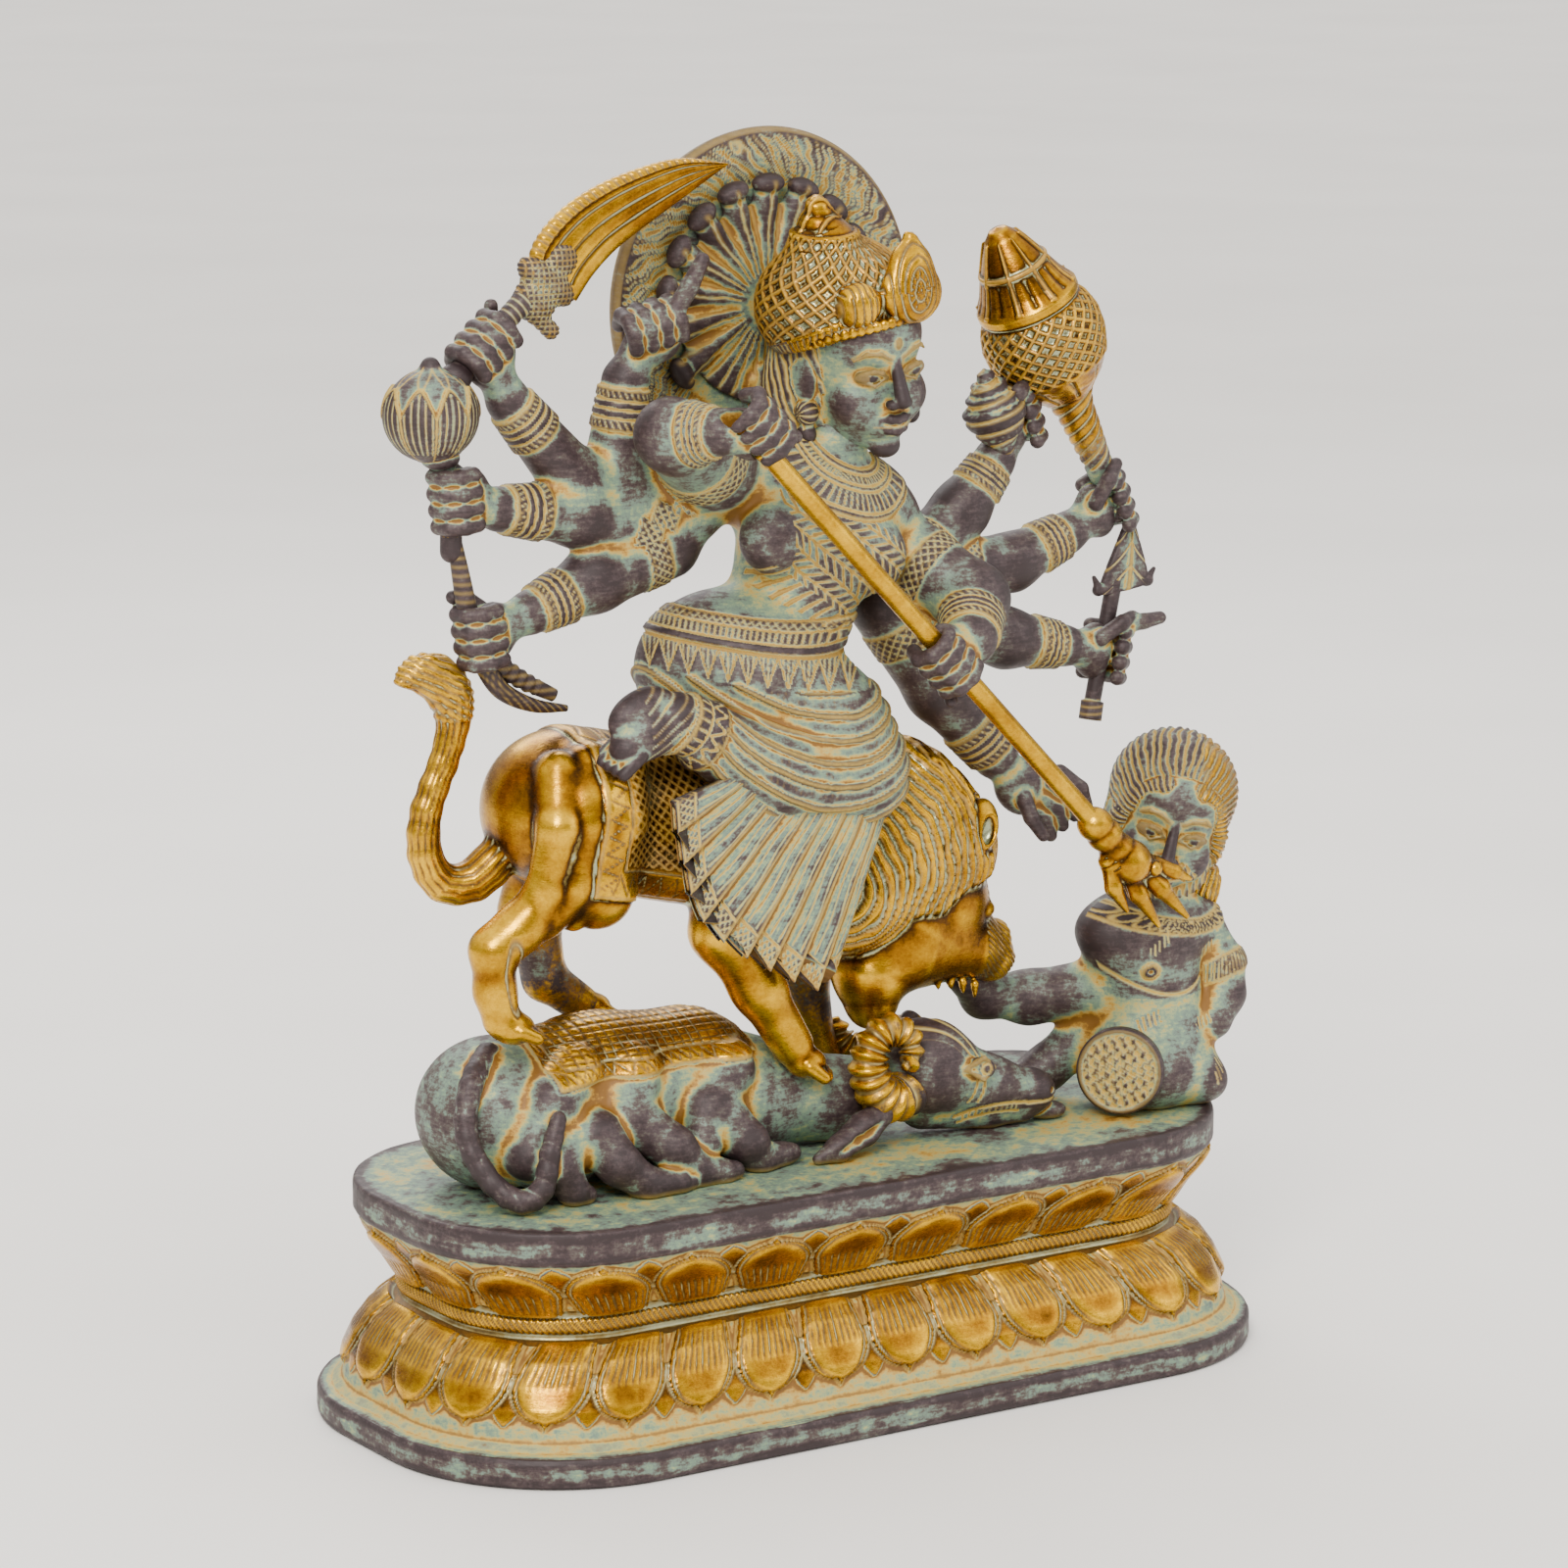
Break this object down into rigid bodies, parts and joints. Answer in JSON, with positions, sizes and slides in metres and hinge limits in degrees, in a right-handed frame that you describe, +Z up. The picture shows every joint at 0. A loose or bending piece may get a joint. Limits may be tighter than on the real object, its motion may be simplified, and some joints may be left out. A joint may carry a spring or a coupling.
{
  "type": "hindu deity statue",
  "caption": "Cast brass statue of a many-armed goddess on a lion over a fallen buffalo, spearing a kneeling demon, on a hollow oval lotus plinth.",
  "frame": {"origin": "centre of the plinth's underside", "axes": "+Z up, +X along the plinth towards the kneeling demon, -Y the front that the goddess faces"},
  "size_m": [0.416, 0.203, 0.524],
  "materials": {
    "patina_brass": "painted verdigris and dark bronze patina with ochre in the grooves, satin",
    "gilt_brass": "gold paint worn to dark in the hollows, semi-gloss",
    "brass_fixing": "plain machined"
  },
  "bodies": {
    "statue": {"arm_arrow": "patina_brass", "arm_bow": "patina_brass", "arm_bud": "patina_brass", "arm_conch": "patina_brass", "arm_demon": "patina_brass", "arm_mace": "patina_brass", "arm_pointing": "patina_brass", "arm_sword": "patina_brass", "arm_trident_lower": "patina_brass", "arm_trident_upper": "patina_brass", "arrow": "patina_brass", "bow": "patina_brass", "buffalo_blanket": "gilt_brass", "buffalo_body": "patina_brass", "buffalo_ear": "patina_brass", "buffalo_head": "patina_brass", "buffalo_horn_far": "gilt_brass", "buffalo_horn_near": "gilt_brass", "buffalo_tail": "patina_brass", "conch": "patina_brass", "demon_arm": "patina_brass", "demon_arm_bitten": "patina_brass", "demon_body": "patina_brass", "demon_head": "patina_brass", "demon_shield": "patina_brass", "fixing_screw_1": "brass_fixing", "fixing_screw_2": "brass_fixing", "fixing_screw_3": "brass_fixing", "fixing_washer_1": "brass_fixing", "fixing_washer_2": "brass_fixing", "fixing_washer_3": "brass_fixing", "goddess_crown": "gilt_brass", "goddess_foot": "patina_brass", "goddess_head": "patina_brass", "goddess_pleats": "patina_brass", "goddess_skirt": "patina_brass", "goddess_torso": "patina_brass", "halo": "patina_brass", "lion_body": "gilt_brass", "lion_fore_far": "gilt_brass", "lion_fore_near": "gilt_brass", "lion_head": "gilt_brass", "lion_hind_far": "gilt_brass", "lion_hind_near": "gilt_brass", "lion_saddle": "gilt_brass", "lion_tail": "gilt_brass", "lotus_bud": "patina_brass", "mace": "gilt_brass", "plinth": "patina_brass", "plinth_foot": "patina_brass", "sword": "gilt_brass"},
    "trident": {"trident_head": "gilt_brass", "trident_shaft": "gilt_brass"}
  },
  "joints": [
    {"name": "trident_slide", "type": "slide", "parent": "statue", "child": "trident", "axis": [-0.6927, 0, 0.7212], "range_m": [0, 0.07]}
  ]
}
